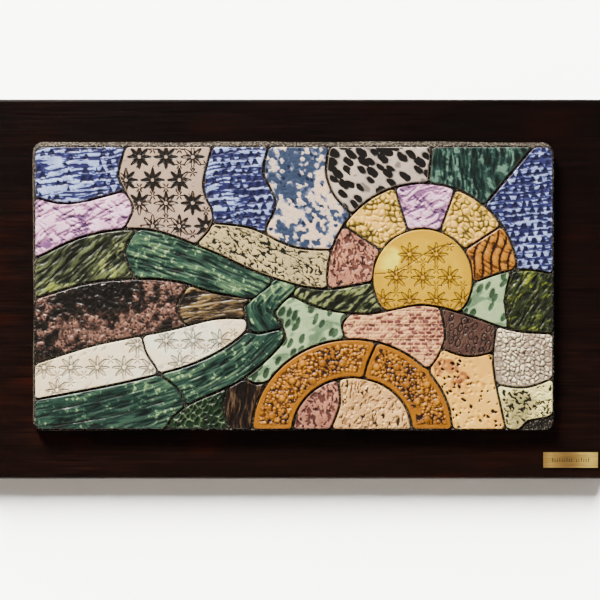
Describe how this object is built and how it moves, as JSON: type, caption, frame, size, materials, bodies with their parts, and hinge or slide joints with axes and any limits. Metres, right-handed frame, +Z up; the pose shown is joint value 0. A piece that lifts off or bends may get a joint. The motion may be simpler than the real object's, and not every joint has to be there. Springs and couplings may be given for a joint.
{
  "type": "ceramic wall panel",
  "caption": "Landscape wall panel of stamped, glazed ceramic tiles bedded in mortar on a dark stained board, with a small brass plate and keyhole slots behind.",
  "frame": {"origin": "centre of the board's flat back, where it lies on the wall", "axes": "+X to the right as the viewer faces the panel, +Z up, +Y into the wall; the front faces -Y"},
  "size_m": [0.63, 0.0357, 0.38],
  "materials": {
    "stained_wood": "near-black stained wood under satin lacquer, reddish brown grain",
    "mortar": "sandy grey-beige cement mortar, matt and granular",
    "brass_plate": "satin brushed brass with blackened strokes",
    "glaze_cobalt": "glossy glaze, cobalt blue brushed over pale blue-white",
    "glaze_lilac": "glossy lilac glaze broken with white",
    "glaze_pale": "satin off-white glaze with dark stain rubbed into the stamps",
    "glaze_green_white": "pale green-white speckled glaze",
    "glaze_teal": "glossy dark teal glaze, streaked with paler green",
    "glaze_yellow": "glossy bright yellow glaze, pooled orange in the stamps",
    "glaze_ochre": "ochre glaze with dark cuts",
    "glaze_cream": "cream glaze with brown pits",
    "glaze_pink": "matt pink and brown-pink glaze",
    "glaze_olive": "combed olive and dark green glaze",
    "glaze_deep_green": "deep green glaze with pale veins",
    "glaze_mottled_dark": "near-black glaze mottled with pink-brown",
    "glaze_brown": "matt brown glaze over textured clay",
    "glaze_amber": "glossy amber glaze that has bubbled"
  },
  "bodies": {
    "root": {"board": "stained_wood", "mortar_bed": "mortar", "name_plate": "brass_plate", "tile_sky_corner": "glaze_cobalt", "tile_sky_lilac": "glaze_lilac", "tile_sky_daisies": "glaze_pale", "tile_sky_strokes": "glaze_cobalt", "tile_sky_mottled": "glaze_pale", "tile_haze": "glaze_green_white", "tile_sky_spotted": "glaze_pale", "tile_sky_streaked": "glaze_teal", "tile_sky_right": "glaze_cobalt", "tile_sun": "glaze_yellow", "tile_ray_1": "glaze_ochre", "tile_ray_2": "glaze_cream", "tile_ray_3": "glaze_lilac", "tile_ray_4": "glaze_cream", "tile_ray_5": "glaze_pink", "tile_olive_hill": "glaze_olive", "tile_teal_hill": "glaze_teal", "tile_near_hill": "glaze_olive", "tile_hill_under_sun": "glaze_green_white", "tile_right_hill": "glaze_deep_green", "tile_dark_meadow": "glaze_mottled_dark", "tile_brown_meadow": "glaze_brown", "tile_path_left": "glaze_pale", "tile_path_right": "glaze_pale", "tile_river_upper": "glaze_teal", "tile_river_middle": "glaze_teal", "tile_river_lower": "glaze_teal", "tile_bank_green": "glaze_deep_green", "tile_bank_foot": "glaze_brown", "tile_bank_field": "glaze_green_white", "tile_arch_left": "glaze_amber", "tile_arch_right": "glaze_amber", "tile_inner_left": "glaze_pink", "tile_inner_right": "glaze_cream", "tile_brick_field": "glaze_pink", "tile_ringed_field": "glaze_brown", "tile_popcorn_field": "glaze_pale", "tile_pitted_field": "glaze_cream", "tile_speckled_field": "glaze_green_white"}
  },
  "joints": []
}
